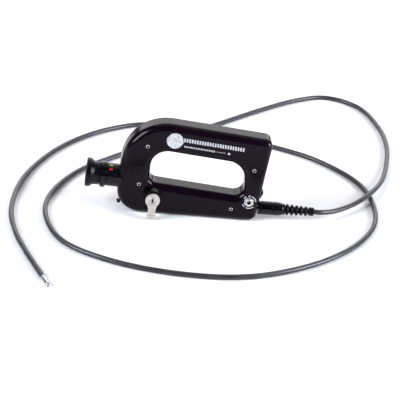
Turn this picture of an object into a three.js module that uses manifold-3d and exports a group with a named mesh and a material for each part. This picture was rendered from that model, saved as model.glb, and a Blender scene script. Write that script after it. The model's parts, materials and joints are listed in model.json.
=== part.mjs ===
import * as THREE from "three";
import { mergeVertices } from "three/addons/utils/BufferGeometryUtils.js";
import Module from "manifold-3d";

// Hand-held articulating inspection scope, standing on the lower edge of its loop-shaped grip.
// Millimetres. +X runs along the grip towards the insertion tube, +Y away from the lever, +Z up.
// The origin is the centre of the flat that the grip stands on.

const wasm = await Module();
wasm.setup();

const clearance = 0.3; // between any two pieces
const radians = THREE.MathUtils.degToRad;

// Grip housing. An end line stands at x when z is 0 and leans; a long line is at z when x is 0 and falls.
const bodyThickness = 29;
const edgeRound = 8;
const wall = 2.5;
const coverDepth = 8; // the rear cover holds the rear round edge
const toeX = 79.1; // where the right end meets the flat
const gripOutline = {
  left: { x: -79.1, lean: 2.24 },
  right: { x: toeX, lean: 5.04 },
  bottom: { z: 0, fall: 0 },
  top: { z: 107.4, fall: 4.77 },
  radii: { heel: 26, toe: 9, shoulder: 9, crown: 50 },
};
const fingerSlot = {
  left: { x: -43.9, lean: 0 },
  right: { x: toeX - 11.5, lean: -7.2 },
  bottom: { z: 33.9, fall: 4.98 },
  top: { z: 74.1, fall: 4.98 },
  radii: { heel: 9.3, toe: 11.5, shoulder: 20.9, crown: 18.7 },
};
const sealInset = 1.2;
const sealDepth = 1.2;

// Screws that hold the cover on and the eyepiece block in
const caseScrewPlaces = [
  [-49.7, 82.5],
  [-54.9, 36],
  [toeX - 8.9, 64],
  [toeX - 28.9, 14.3],
];
const caseScrew = { headRadius: 2.4, headHeight: 1.6, shankRadius: 1.3, length: bodyThickness - 4, key: 1 };
const bossRadius = 3.6;
const blockScrew = { headRadius: 2.4, headHeight: 1.2, shankRadius: 1.2, length: 9, key: 0.9 };
const blockScrewSink = 0.2;
const blockScrewCentre = [-61, 57.7];
const blockScrewPitch = [7, 9.9];

// Eyepiece, on an axis square to the left end wall
const eyepieceHeight = 38;
const barrelRadius = 13;
const barrelLength = 13.6;
const barrelBore = 7.5;
const neckRadius = 9;
const shoulderDepth = wall + 0.9;
const neckDepth = shoulderDepth + 5;
const threadRadius = 10;
const ringRadius = 14;
const ringLength = 6.7;
const ringPegs = 3;
const pegRadius = 2.7;
const pegHeight = 1.9;
const pegAngle = 12; // of the first peg, from the top towards the front
const cupRimRadius = 16;
const cupWaistRadius = 12.8;
const cupLength = 15.3;
const cupWindowRadius = 7.5;
const rimFlat = 2;
const lensThickness = 4;
const eyepieceBlock = {
  frontY: wall + 0.5 - bodyThickness / 2,
  rearY: neckRadius + 0.5,
  plateX: gripOutline.left.x + shoulderDepth + 3.1,
  thickness: 3.6,
  lowZ: 27,
  stepZ: 49,
  highZ: 65.5,
  endX: -53.6,
};

// Steering lever on the front face
const leverPlace = [-38.8, 23.8];
const leverLean = 1;
const hubRadius = 8.4;
const armWidth = 9;
const armFootWidth = 10.6;
const armReach = 22.4;
const leverThickness = 3;
const leverStandOff = 10.5; // from the front face to the back of the lever
const shaftRadius = 4;
const bushRadius = 6;
const leverBossRadius = 10;
const shaftEnd = 11.5; // behind the front face
const drumRadius = 7.4;
const drumWidth = 6;
const wireRadius = 0.5;
const cableStop = {
  fromDrum: 46,
  length: 12,
  frontY: -8,
  rearY: -2,
  bottom: 10.5,
  top: 21.5,
  upperHole: 18,
  lowerHole: 13.6,
};
const leverScrew = { headRadius: 4.2, headHeight: 1.4, shankRadius: 1.7, length: 12, key: 0.9 };

// Strap stud at the heel, on a line out of the heel's centre
const studAngle = 220;
const studThreadStart = 22;
const studThreadRadius = 1.5;
const studNeckStart = 26.3;
const studNeckRadius = 1.5;
const studHeadStart = 29;
const studHeadRadius = 2.6;
const studHeadLength = 3;

// Charging jack and power button
const jackPlace = [toeX - 10.4, 26.2];
const jackRadius = 4;
const jackBore = 2.2;
const jackStandOff = 3.4;
const jackDepth = 10.5;
const jackNutAcross = 10.2;
const jackNutHeight = 2.6;
const buttonHeight = 31;
const buttonRadius = 3.3;
const buttonStandOff = 3.4;
const buttonTravel = 1.4;
const bezelRadius = 6.2;
const bezelNeckRadius = 4.6;
const bezelNeckLength = 4;

// Battery and light
const batteryX = 8;
const batteryRadius = 9.2;
const batteryLength = 65;
const ledStart = toeX - 23.1;
const lightRadius = 1;
const leadRadius = 0.9;
const driverBoard = { low: 38, high: 58, frontY: 1.5, thickness: 1.6, width: 12.8, wallGap: 0.751 };
const ledModule = { halfWidth: 7.5, bottom: 4, top: 11.2, length: 8, lightHeight: 7.6 };
const cradleRim = 1; // the battery cradle's wall beside the cell
const cradleFloor = 1.6;

// Gland, strain relief and insertion tube
const cordHeight = 12.4;
const glandStart = toeX + 2.2;
const glandRadius = 7.7;
const glandLength = 22.3;
const glandTaper = 6.7;
const glandBore = 2.7;
const glandNeckRadius = 5;
const glandNeckLength = wall + 5.5;
const glandNutRadius = 6.6;
const bundleRadius = 1.1;
const reliefLength = 34.9;
const reliefRibs = 5;
const reliefCore = 3.6;
const ribRadiusFirst = 6.5;
const ribRadiusLast = 5.3;
const cuffLength = 6;
const cuffRadius = 4.8;
const tubeRadius = 2.9;

// Bending section and tip
const bendPitch = 8;
const bendJoints = 6;
const bendLimit = 18;
const bendHeading = -68;
const tipLength = 16;
const vertebra = { outer: tubeRadius - 0.65, inner: tubeRadius - 1.25, sheathInner: tubeRadius - 0.35 };
const tipLens = { radius: 0.8, height: 0.9 };
const tipLight = { radius: 0.6, height: -1.4 };

// The route that the insertion tube lies along, from the strain relief to the bending section
const tubeStart = glandStart + glandLength + glandTaper + reliefLength + 0.8;
const resting = tubeRadius + 0.05; // the tube's centre line where it lies flat
const crossing = resting + 2 * tubeRadius + 0.45; // and where it passes over itself
const tubeRoute = [
  [tubeStart, 0, cordHeight],
  [tubeStart + 9, 0.6, cordHeight - 0.2],
  [tubeStart + 27, 12, crossing + 0.6],
  [tubeStart + 52, 35, crossing - 0.3],
  [222.4, 67.1, crossing],
  [242, 109, resting + 2.45],
  [256, 160, resting + 0.15],
  [265, 215, resting],
  [263, 272, resting],
  [245, 331, resting],
  [205, 355, resting],
  [160, 336, resting],
  [105, 290, resting],
  [45, 233, resting],
  [-20, 174.5, resting],
  [-80, 119, resting],
  [-123, 70, resting],
  [-150, 12, resting],
  [-154, -42, resting],
  [-133, -97, resting],
  [-80, -131, resting],
  [-10, -146.5, resting],
  [60, -142, resting],
  [125, -112, resting],
  [180, -65, resting],
  [214, -10, resting],
  [223, 45, resting],
  [211, 105, resting],
  [165, 159, resting],
  [105, 190, resting + 0.15],
  [64, 205, resting + 1.85],
  [25, 215.5, crossing],
  [-15, 219.5, resting + 1.85],
  [-60, 212, resting + 0.15],
  [-111, 174, resting],
  [-153, 117, resting],
  [-183, 44, resting],
  [-192, -30, resting],
  [-184, -85, resting],
  [-169.2, -129.7, resting],
];

// Finishes
const finish = (color, roughness, metalness) =>
  new THREE.MeshStandardMaterial({ color, roughness, metalness });
const glossBlack = finish(0x1f1d24, 0.2, 0);
const satinBlack = finish(0x18171b, 0.5, 0);
const blackRubber = finish(0x232227, 0.7, 0);
const satinSilver = finish(0xc6c1bc, 0.4, 1);
const brightSteel = finish(0xd8d8da, 0.2, 1);
const blackSteel = finish(0x17161a, 0.4, 1);
const bronze = finish(0xa97a45, 0.4, 1);
const aluminium = finish(0xa9abb0, 0.5, 1);
const lensGlass = finish(0xbfd3e6, 0.05, 0);
const boardGreen = finish(0x1f5a3c, 0.6, 0);
const cellSleeve = finish(0x2b4f8c, 0.4, 0);

const scope = new THREE.Group();

// Solid work

function solidOf(geometry) {
  const plain = new THREE.BufferGeometry();
  const source = geometry.index ? geometry.toNonIndexed() : geometry;
  plain.setAttribute("position", source.getAttribute("position"));
  const merged = mergeVertices(plain, 1e-4);
  return new wasm.Manifold(
    new wasm.Mesh({
      numProp: 3,
      vertProperties: merged.attributes.position.array,
      triVerts: new Uint32Array(merged.index.array),
    }),
  );
}

function geometryOf(solid) {
  const mesh = solid.getMesh();
  const geometry = new THREE.BufferGeometry();
  geometry.setAttribute("position", new THREE.BufferAttribute(mesh.vertProperties, 3));
  geometry.setIndex(new THREE.BufferAttribute(mesh.triVerts, 1));
  geometry.computeVertexNormals();
  return geometry;
}

const combine = (method) => (first, ...others) =>
  geometryOf(others.reduce((solid, other) => solid[method](solidOf(other)), solidOf(first)));
const join = combine("add");
const cut = combine("subtract");
const keep = combine("intersect");

// A block between two corners
function block(low, high) {
  const size = high.map((value, i) => value - low[i]);
  const middle = high.map((value, i) => (value + low[i]) / 2);
  return new THREE.BoxGeometry(...size).translate(...middle);
}

// A rod along X or Y
function rodX(radius, from, to, sides = 20) {
  return new THREE.CylinderGeometry(radius, radius, to - from, sides)
    .rotateZ(-Math.PI / 2)
    .translate((from + to) / 2, 0, 0);
}

function rodY(radius, from, to, x = 0, z = 0, sides = 20) {
  return new THREE.CylinderGeometry(radius, radius, to - from, sides).translate(x, (from + to) / 2, z);
}

// A turned piece: its profile is [along, radius], out along the outside and back along the inside.
function turned(profile, sides = 24) {
  const points = profile.map(([along, radius]) => new THREE.Vector2(radius, along));
  return new THREE.LatheGeometry(points, sides);
}

const turnedX = (profile, sides) => turned(profile, sides).rotateZ(-Math.PI / 2);

const sleeve = (from, to, outer, inner) => [
  [from, inner],
  [from, outer],
  [to, outer],
  [to, inner],
  [from, inner],
];

const plug = (from, to, radius) => [
  [from, 0],
  [from, radius],
  [to, radius],
  [to, 0],
];

// A tube along a smooth curve through points
function tubeAlong(points, radius, steps, sides) {
  const curve = new THREE.CatmullRomCurve3(
    points.map((point) => new THREE.Vector3(...point)),
    false,
    "catmullrom",
    0.5,
  );
  const section = new THREE.Shape();
  for (let i = 0; i < sides; i += 1) {
    const angle = (i * 2 * Math.PI) / sides;
    const place = [radius * Math.cos(angle), radius * Math.sin(angle)];
    if (i === 0) section.moveTo(...place);
    else section.lineTo(...place);
  }
  section.closePath();
  return new THREE.ExtrudeGeometry(section, { steps, extrudePath: curve });
}

function add(parent, name, geometry, material) {
  const mesh = new THREE.Mesh(geometry, material);
  mesh.name = name;
  parent.add(mesh);
  return mesh;
}

function place(group, position, turnY = 0) {
  group.position.set(...position);
  group.rotation.y = turnY;
  scope.add(group);
  return group;
}

const inPlace = (geometry, group) => {
  group.updateMatrixWorld(true);
  return geometry.applyMatrix4(group.matrixWorld);
};

// Outlines in the X-Z plane

function corner(end, long) {
  const lean = Math.tan(radians(end.lean));
  const fall = Math.tan(radians(long.fall));
  const z = (long.z - end.x * fall) / (1 + lean * fall);
  return new THREE.Vector2(end.x + z * lean, z);
}

function roundedPath(path, outline, inset) {
  const { left, right, bottom, top, radii } = outline;
  const corners = [
    corner(left, bottom),
    corner(right, bottom),
    corner(right, top),
    corner(left, top),
  ];
  const sizes = [radii.heel, radii.toe, radii.shoulder, radii.crown];
  corners.forEach((point, i) => {
    const arriving = point.clone().sub(corners[(i + 3) % 4]).normalize();
    const leaving = corners[(i + 1) % 4].clone().sub(point).normalize();
    const turn = Math.acos(arriving.dot(leaving));
    const inward = new THREE.Vector2(-arriving.y, arriving.x);
    const centre = point
      .clone()
      .addScaledVector(arriving, -sizes[i] * Math.tan(turn / 2))
      .addScaledVector(inward, sizes[i]);
    const start = Math.atan2(-inward.y, -inward.x);
    path.absarc(centre.x, centre.y, sizes[i] - inset, start, start + turn, false);
  });
  path.closePath();
  return path;
}

// A slab of the grip's outline, set in from its surface, with round edges
function gripSlab(inset, thickness, round) {
  const shape = roundedPath(new THREE.Shape(), gripOutline, inset);
  shape.holes.push(roundedPath(new THREE.Path(), fingerSlot, -inset));
  const settings = { depth: thickness - 2 * round, curveSegments: 3, bevelEnabled: round > 0 };
  Object.assign(settings, { bevelSegments: 4, bevelThickness: round, bevelSize: round, bevelOffset: -round });
  return new THREE.ExtrudeGeometry(shape, settings)
    .translate(0, 0, round - thickness / 2)
    .rotateX(Math.PI / 2);
}

const front = -bodyThickness / 2;
const back = bodyThickness / 2;
const split = back - coverDepth;
const leftWallX = (z) => gripOutline.left.x + z * Math.tan(radians(gripOutline.left.lean));
const rightWallX = (z) => gripOutline.right.x + z * Math.tan(radians(gripOutline.right.lean));
const gripMiddle = (x) => {
  const drop = x * Math.tan(radians((gripOutline.top.fall + fingerSlot.top.fall) / 2));
  return (gripOutline.top.z + fingerSlot.top.z) / 2 - drop;
};

// Groups that hold what stands on a slanted wall or turns as one

const eyepieceGroup = place(
  new THREE.Group(),
  [leftWallX(eyepieceHeight), 0, eyepieceHeight],
  Math.PI + radians(gripOutline.left.lean),
);
const buttonGroup = place(
  new THREE.Group(),
  [rightWallX(buttonHeight), 0, buttonHeight],
  radians(gripOutline.right.lean),
);
const glandGroup = place(new THREE.Group(), [glandStart, 0, cordHeight]);
const leverGroup = place(new THREE.Group(), [leverPlace[0], front, leverPlace[1]]);
const heelLean = radians(gripOutline.left.lean);
const heelInset = gripOutline.radii.heel * (Math.tan(heelLean) + 1 / Math.cos(heelLean));
const heelCentreX = gripOutline.left.x + heelInset;
const studGroup = place(new THREE.Group(), [heelCentreX, 0, gripOutline.radii.heel], -radians(studAngle));
const batteryGroup = place(
  new THREE.Group(),
  [batteryX, 0, gripMiddle(batteryX)],
  radians((gripOutline.top.fall + fingerSlot.top.fall) / 2),
);
const bendGroup = place(new THREE.Group(), tubeRoute.at(-1));
bendGroup.rotation.z = radians(bendHeading);

// Housing

const frontOfWall = front - 1; // where a tool starts, clear of the front face

const blockScrewPlaces = [-0.5, 0.5].flatMap((across) =>
  [-0.5, 0.5].map((up) => [
    blockScrewCentre[0] + across * blockScrewPitch[0],
    blockScrewCentre[1] + up * blockScrewPitch[1],
  ]),
);

// The stretch of the cover's seam between two insets of the grip's outer line
function seamRing(near, far, depth) {
  const shape = roundedPath(new THREE.Shape(), gripOutline, near);
  shape.holes.push(roundedPath(new THREE.Path(), gripOutline, far));
  return new THREE.ExtrudeGeometry(shape, { depth, curveSegments: 3, bevelEnabled: false })
    .rotateX(Math.PI / 2)
    .translate(0, split + depth / 2, 0);
}

function screwHolesAt(places, size, sink) {
  return places.flatMap(([x, z]) => [
    rodY(size.headRadius + clearance, frontOfWall, front + sink + size.headHeight + clearance, x, z, 16),
    rodY(size.shankRadius + clearance, front, front + sink + size.length + clearance, x, z, 12),
  ]);
}

function makeHousing() {
  const gap = clearance / 2;
  const reach = 400;
  const outside = gripSlab(0, bodyThickness, edgeRound);
  const hollow = gripSlab(wall, bodyThickness - 2 * wall, edgeRound - wall);
  const frontHalf = block([-reach, -reach, -reach], [reach, split - gap, reach]);
  const rearHalf = block([-reach, split + gap, -reach], [reach, reach, reach]);
  const bosses = caseScrewPlaces.map(([x, z]) =>
    rodY(bossRadius, front + wall / 2, back - wall / 2, x, z, 16),
  );
  const barrelRoom = rodX(barrelRadius + clearance, -shoulderDepth - clearance, 20, 24);
  const barrelHole = inPlace(barrelRoom, eyepieceGroup);
  const studRoom = rodX(studThreadRadius + clearance, studThreadStart - clearance, studNeckStart + 1, 12);
  const openings = [
    seamRing(sealInset, wall + 1, sealDepth + 2 * clearance),
    barrelHole,
    inPlace(studRoom, studGroup),
    ...screwHolesAt(caseScrewPlaces, caseScrew, 0),
  ];
  const frontOpenings = [
    ...screwHolesAt(blockScrewPlaces, blockScrew, blockScrewSink),
    inPlace(rodX(glandNeckRadius + clearance, -glandNeckLength, 5), glandGroup),
    inPlace(rodX(bezelNeckRadius + clearance, -bezelNeckLength, 3), buttonGroup),
    rodY(bushRadius + clearance, frontOfWall, front + 2 * wall, ...leverPlace, 24),
    rodY(jackRadius + clearance, frontOfWall, front + 2 * wall, ...jackPlace),
  ];
  const shell = cut(join(cut(outside, hollow), ...bosses), ...openings);
  add(scope, "front_shell", cut(keep(shell, frontHalf), ...frontOpenings), glossBlack);
  add(scope, "rear_shell", keep(shell, rearHalf), glossBlack);
  add(scope, "cover_seal", cut(seamRing(sealInset + clearance, wall, sealDepth), barrelHole), blackRubber);
}

// A socket screw along +Y, its head at y = 0
function screwAlongY({ headRadius, headHeight, shankRadius, length, key }) {
  const body = turned(
    [
      [0, 0],
      [0, headRadius],
      [headHeight, headRadius],
      [headHeight, shankRadius],
      [length, shankRadius],
      [length, 0],
    ],
    16,
  );
  return cut(body, new THREE.CylinderGeometry(key, key, headHeight, 6));
}

function makeScrews(name, places, size, sink, material) {
  places.forEach(([x, z], i) => {
    add(scope, `${name}_${i + 1}`, screwAlongY(size), material).position.set(x, front + sink, z);
  });
}

function makeStrapStud() {
  const profile = [
    [studThreadStart, 0],
    [studThreadStart, studThreadRadius],
    [studNeckStart, studThreadRadius],
    [studNeckStart, studNeckRadius + 0.8],
    [studNeckStart + 0.8, studNeckRadius],
    [studHeadStart, studNeckRadius],
    [studHeadStart, studHeadRadius],
    [studHeadStart + studHeadLength * 0.6, studHeadRadius],
    [studHeadStart + studHeadLength, studHeadRadius * 0.6],
    [studHeadStart + studHeadLength, 0],
  ];
  add(studGroup, "strap_stud", turnedX(profile, 16), blackSteel);
}

// Eyepiece

function makeEyepiece() {
  const ringStart = barrelLength + clearance;
  const cupStart = ringStart + ringLength + clearance;
  const cupEnd = cupStart + cupLength;
  const threadEnd = cupStart + cupLength * 0.36;
  const barrel = [
    [-neckDepth, barrelBore],
    [-neckDepth, neckRadius],
    [-shoulderDepth, neckRadius],
    [-shoulderDepth, barrelRadius],
    [barrelLength - 0.6, barrelRadius],
    [barrelLength, barrelRadius - 0.6],
    [barrelLength, threadRadius],
    [threadEnd, threadRadius],
    [threadEnd, barrelBore],
    [-neckDepth, barrelBore],
  ];
  add(eyepieceGroup, "eyepiece_barrel", turnedX(barrel, 24), satinBlack);

  const ring = turnedX(sleeve(ringStart, ringStart + ringLength, ringRadius, threadRadius + clearance), 24);
  const pegs = [];
  for (let i = 0; i < ringPegs; i += 1) {
    const pegLength = ringRadius - threadRadius + pegHeight - 1;
    const peg = new THREE.CylinderGeometry(pegRadius * 0.75, pegRadius, pegLength, 12)
      .rotateX(-Math.PI / 2)
      .translate(ringStart + ringLength / 2, 0, -(ringRadius + threadRadius + pegHeight + 1) / 2)
      .rotateX(-radians(pegAngle + (i * 360) / ringPegs));
    pegs.push(peg);
  }
  add(eyepieceGroup, "focus_ring", join(ring, ...pegs), satinBlack);

  const cup = [
    [cupStart, threadRadius + clearance],
    [cupStart, cupWaistRadius],
    [cupStart + cupLength * 0.3, cupWaistRadius],
    [cupStart + cupLength * 0.5, cupWaistRadius + 0.9],
    [cupStart + cupLength * 0.68, cupRimRadius - 0.5],
    [cupStart + cupLength * 0.76, cupRimRadius],
    [cupEnd - 0.6, cupRimRadius],
    [cupEnd, cupRimRadius - 0.6],
    [cupEnd, cupRimRadius - rimFlat],
    [cupStart + cupLength * 0.55, cupWindowRadius],
    [threadEnd + clearance, cupWindowRadius],
    [threadEnd + clearance, threadRadius + clearance],
    [cupStart, threadRadius + clearance],
  ];
  add(eyepieceGroup, "eyecup", turnedX(cup, 24), blackRubber);

  const lensRadius = barrelBore - clearance;
  const eyeLens = [
    [threadEnd - 1 - lensThickness, 0],
    [threadEnd - 1 - lensThickness, lensRadius],
    [threadEnd - 1.6, lensRadius],
    [threadEnd - 0.6, lensRadius * 0.6],
    [threadEnd - 0.3, 0],
  ];
  add(eyepieceGroup, "eye_lens", turnedX(eyeLens, 20), lensGlass);
  add(eyepieceGroup, "field_lens", turnedX(plug(0, lensThickness, lensRadius), 20), lensGlass);
}

// The block that carries the eyepiece's neck and hangs from the four black screws
function makeEyepieceBlock() {
  const { frontY, rearY, plateX, thickness, lowZ, stepZ, highZ, endX } = eyepieceBlock;
  const plate = block([plateX, -rearY, lowZ], [plateX + thickness, rearY, highZ - 4]);
  const upper = block([plateX + thickness - 0.4, frontY, stepZ], [endX, rearY, highZ]);
  const neckHole = inPlace(rodX(neckRadius + clearance, -neckDepth - 6, 0, 24), eyepieceGroup);
  const holes = screwHolesAt(blockScrewPlaces, blockScrew, blockScrewSink);
  add(scope, "eyepiece_block", cut(join(plate, upper), neckHole, ...holes), aluminium);
}

// Steering lever and what it turns

function makeLever() {
  const backOfLever = -leverStandOff;
  const frontOfLever = backOfLever - leverThickness;
  const half = armWidth / 2;
  const foot = armFootWidth / 2;
  const arm = new THREE.Shape();
  arm.moveTo(-half, 0);
  arm.lineTo(-half, -armReach * 0.72);
  arm.lineTo(-foot, -armReach * 0.93);
  arm.quadraticCurveTo(-foot, -armReach, -foot + 1.6, -armReach);
  arm.lineTo(foot - 1.6, -armReach);
  arm.quadraticCurveTo(foot, -armReach, foot, -armReach * 0.93);
  arm.lineTo(half, -armReach * 0.72);
  arm.lineTo(half, 0);
  arm.closePath();
  const armSettings = { depth: leverThickness, bevelEnabled: false, curveSegments: 4 };
  const armPlate = new THREE.ExtrudeGeometry(arm, armSettings)
    .rotateX(Math.PI / 2)
    .translate(0, backOfLever, 0)
    .rotateY(-radians(leverLean));
  const head = leverScrew.headHeight;
  const plate = cut(
    join(rodY(hubRadius, frontOfLever, backOfLever, 0, 0, 32), armPlate),
    rodY(leverScrew.headRadius + clearance, frontOfLever - 1, frontOfLever + head + clearance),
    rodY(leverScrew.shankRadius + clearance, frontOfLever, 0),
  );
  add(leverGroup, "steering_lever", plate, satinSilver);

  const slot = block([-leverScrew.headRadius, -1, -0.5], [leverScrew.headRadius, 0.8, 0.5]);
  const screw = cut(screwAlongY(leverScrew), slot);
  add(leverGroup, "lever_screw", screw, brightSteel).position.y = frontOfLever;

  const shaftStart = backOfLever + clearance;
  const screwEnd = frontOfLever + leverScrew.length;
  const screwRoom = rodY(leverScrew.shankRadius + clearance, shaftStart - 1, screwEnd + clearance);
  const shaft = cut(rodY(shaftRadius, shaftStart, shaftEnd), screwRoom);
  add(leverGroup, "lever_shaft", shaft, brightSteel);

  const bossEnd = shaftStart + 0.6;
  const boss = cut(
    rodY(leverBossRadius, bossEnd, -clearance, 0, 0, 32),
    rodY(bushRadius + clearance, bossEnd + 1.5, 1, 0, 0, 24),
    rodY(shaftRadius + clearance, bossEnd - 1, 1),
  );
  add(leverGroup, "lever_boss", boss, satinBlack);
  const bushStart = bossEnd + 1.5 + clearance;
  const sealLength = 1.6;
  const seal = turned(sleeve(bushStart, bushStart + sealLength, bushRadius, shaftRadius + clearance), 20);
  add(leverGroup, "shaft_seal", seal, blackRubber);
  const bush = turned(
    sleeve(bushStart + sealLength + clearance, wall + 0.2, bushRadius, shaftRadius + clearance),
    20,
  );
  add(leverGroup, "shaft_bush", bush, bronze);

  const drumStart = wall + 0.2 + clearance;
  const drum = turned(
    [
      [drumStart, shaftRadius + clearance],
      [drumStart, drumRadius],
      [drumStart + 0.8, drumRadius],
      [drumStart + 1.6, drumRadius - 1],
      [drumStart + drumWidth - 1.6, drumRadius - 1],
      [drumStart + drumWidth - 0.8, drumRadius],
      [drumStart + drumWidth, drumRadius],
      [drumStart + drumWidth, shaftRadius + clearance],
      [drumStart, shaftRadius + clearance],
    ],
    24,
  );
  add(leverGroup, "cable_drum", drum, aluminium);
  return front + drumStart + drumWidth / 2;
}

// Wires from the drum, through their stop, to the gland
function makePullWires(drumY) {
  const [x, z] = leverPlace;
  const offset = drumRadius + clearance + wireRadius;
  const { length, frontY, rearY, bottom, top, upperHole, lowerHole, fromDrum } = cableStop;
  const middleY = (frontY + rearY) / 2;
  const stopStart = x + fromDrum;
  const entry = stopStart + 2;
  const exit = stopStart + length - 2;
  const neck = glandStart - glandNeckLength;
  const wires = {
    pull_wire_upper: [
      [x, drumY, z + offset],
      [x + 18, drumY, z + 6.6],
      [x + 38, middleY - 0.4, upperHole + 0.6],
      [entry, middleY, upperHole],
      [exit, middleY, upperHole],
      [exit + 10, middleY + 0.4, upperHole + 0.6],
      [neck - 23.1, -2.4, 22.4],
      [neck - 11.1, -1.8, 17.8],
      [neck - 1.1, -1.2, 13.9],
    ],
    pull_wire_lower: [
      [x, drumY, z - offset],
      [x + 18, drumY, 14],
      [x + 38, middleY - 0.2, lowerHole],
      [entry, middleY, lowerHole],
      [exit, middleY, lowerHole],
      [exit + 10, middleY, lowerHole + 0.6],
      [neck - 23.1, -5.4, 20],
      [neck - 11.1, -3.2, 14.5],
      [neck - 1.1, -1.8, 11.4],
    ],
  };
  Object.entries(wires).forEach(([name, points]) => {
    add(scope, name, tubeAlong(points, wireRadius, 18, 6), brightSteel);
  });
  const stop = block([stopStart, frontY, bottom], [stopStart + length, rearY, top]);
  const holes = [upperHole, lowerHole].map((height) =>
    rodX(wireRadius + clearance, -1, length + 1, 12).translate(stopStart, middleY, height),
  );
  add(scope, "cable_stop", cut(stop, ...holes), aluminium);
}

// Electrics

function makeJack() {
  const jackGroup = place(new THREE.Group(), [jackPlace[0], front, jackPlace[1]]);
  const barrel = turned(sleeve(-jackStandOff, jackDepth, jackRadius, jackBore), 20);
  add(jackGroup, "jack_barrel", barrel, brightSteel);
  const nutRadius = jackNutAcross / 2 / Math.cos(Math.PI / 6);
  const nutBody = new THREE.CylinderGeometry(nutRadius, nutRadius, jackNutHeight, 6);
  nutBody.translate(0, -clearance - jackNutHeight / 2, 0);
  add(jackGroup, "jack_nut", cut(nutBody, rodY(jackRadius + clearance, -9, 9)), brightSteel);
  const contact = turned(plug(-jackStandOff + 2, jackDepth - clearance, 0.7), 10);
  const contactDisc = rodY(jackBore - clearance, jackDepth - 2, jackDepth - clearance);
  add(jackGroup, "jack_contact", join(contact, contactDisc), bronze);
}

function makeButton() {
  const neckBore = buttonRadius + clearance;
  const flangeRadius = buttonRadius + 1;
  const bezel = [
    [-bezelNeckLength + clearance, neckBore],
    [-bezelNeckLength + clearance, bezelNeckRadius],
    [clearance, bezelNeckRadius],
    [clearance, bezelRadius],
    [1.3, bezelRadius],
    [1.9, bezelRadius - 0.7],
    [1.9, neckBore],
    [-bezelNeckLength + clearance, neckBore],
  ];
  add(buttonGroup, "button_bezel", turnedX(bezel, 24), satinBlack);
  const flangeStart = -bezelNeckLength - 1;
  const button = [
    [flangeStart, 0],
    [flangeStart, flangeRadius],
    [-bezelNeckLength, flangeRadius],
    [-bezelNeckLength, buttonRadius],
    [buttonStandOff - 0.6, buttonRadius],
    [buttonStandOff, buttonRadius - 0.9],
    [buttonStandOff, 0],
  ];
  add(buttonGroup, "power_button", turnedX(button, 20), satinBlack);
  const switchFace = flangeStart - buttonTravel - clearance;
  add(buttonGroup, "power_switch", block([switchFace - 3, -3.5, -3.5], [switchFace, 3.5, 3.5]), satinBlack);
}

function makeBattery() {
  const half = batteryLength / 2;
  const contactRise = 0.6;
  const cell = [
    [-half, 0],
    [-half, batteryRadius],
    [half - contactRise, batteryRadius],
    [half - contactRise, 3],
    [half + contactRise, 3],
    [half + contactRise, 0],
  ];
  add(batteryGroup, "battery", turnedX(cell, 24), cellSleeve);
  const inner = half + 2 * contactRise;
  const outer = inner + cradleFloor;
  const side = batteryRadius + cradleRim;
  const room = batteryRadius + clearance;
  const trough = cut(
    block([-outer, -side, -batteryRadius - cradleFloor], [outer, side, 3]),
    block([-inner, -2 * side, -2 * side], [inner, 2 * side, -batteryRadius - 0.2]),
    rodX(room, -inner, inner, 24),
    block([-inner, -room, 0], [inner, room, 2 * side]),
  );
  add(batteryGroup, "battery_cradle", trough, satinBlack);
}

function makeElectronics() {
  const { low, high, frontY, thickness, width, wallGap } = driverBoard;
  const boardEnd = rightWallX(low) - wall - wallGap;
  const boardStart = boardEnd - width;
  const chipRear = frontY + 0.1;
  const board = block([boardStart, frontY, low], [boardEnd, frontY + thickness, high]);
  const chips = [
    block([boardStart + 0.6, 0.4, low + 11], [boardStart + 6.6, chipRear, low + 17]),
    block([boardStart + 1.6, -0.4, low + 2.5], [boardStart + 5.6, chipRear, low + 8]),
    block([boardStart + 8.1, 0.2, low + 3], [boardStart + 11.1, chipRear, low + 6]),
    rodY(2.2, -2.4, chipRear, boardStart + 10, high - 4.5, 12),
  ];
  add(scope, "driver_board", join(board, ...chips), boardGreen);

  const { halfWidth, bottom, top, length, lightHeight } = ledModule;
  const ledBody = block([ledStart, -halfWidth, bottom], [ledStart + length, halfWidth, top]);
  const fins = [-5, -2.5, 0, 2.5, 5].map((y) =>
    block([ledStart - 1, y - 0.7, bottom + 1], [ledStart, y + 0.7, top - 0.7]),
  );
  const lightHole = rodX(lightRadius + clearance, ledStart + 4, ledStart + length + 1, 12);
  lightHole.translate(0, 0, lightHeight);
  add(scope, "led_module", cut(join(ledBody, ...fins), lightHole), aluminium);
  const lightRoute = [
    [ledStart + 4.5, 0, lightHeight],
    [ledStart + 11, 0.3, lightHeight + 0.2],
    [glandStart - glandNeckLength - 1, 1.4, 9.6],
  ];
  add(scope, "light_bundle", tubeAlong(lightRoute, lightRadius, 6, 8), satinBlack);

  const batteryEnd = batteryX + batteryLength / 2 + 4;
  const leadRoute = [
    [batteryEnd, 4, gripMiddle(batteryEnd) - 3],
    [batteryEnd + 16, 5, gripMiddle(batteryEnd) - 5],
    [boardEnd - 2.2, 6, high + 16],
    [boardEnd - 1.6, 5.6, high + 8],
    [boardEnd - 2.2, 2.4, high + 0.4],
  ];
  add(scope, "battery_lead", tubeAlong(leadRoute, leadRadius, 12, 8), satinBlack);
}

// Gland, strain relief and what runs through them

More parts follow.
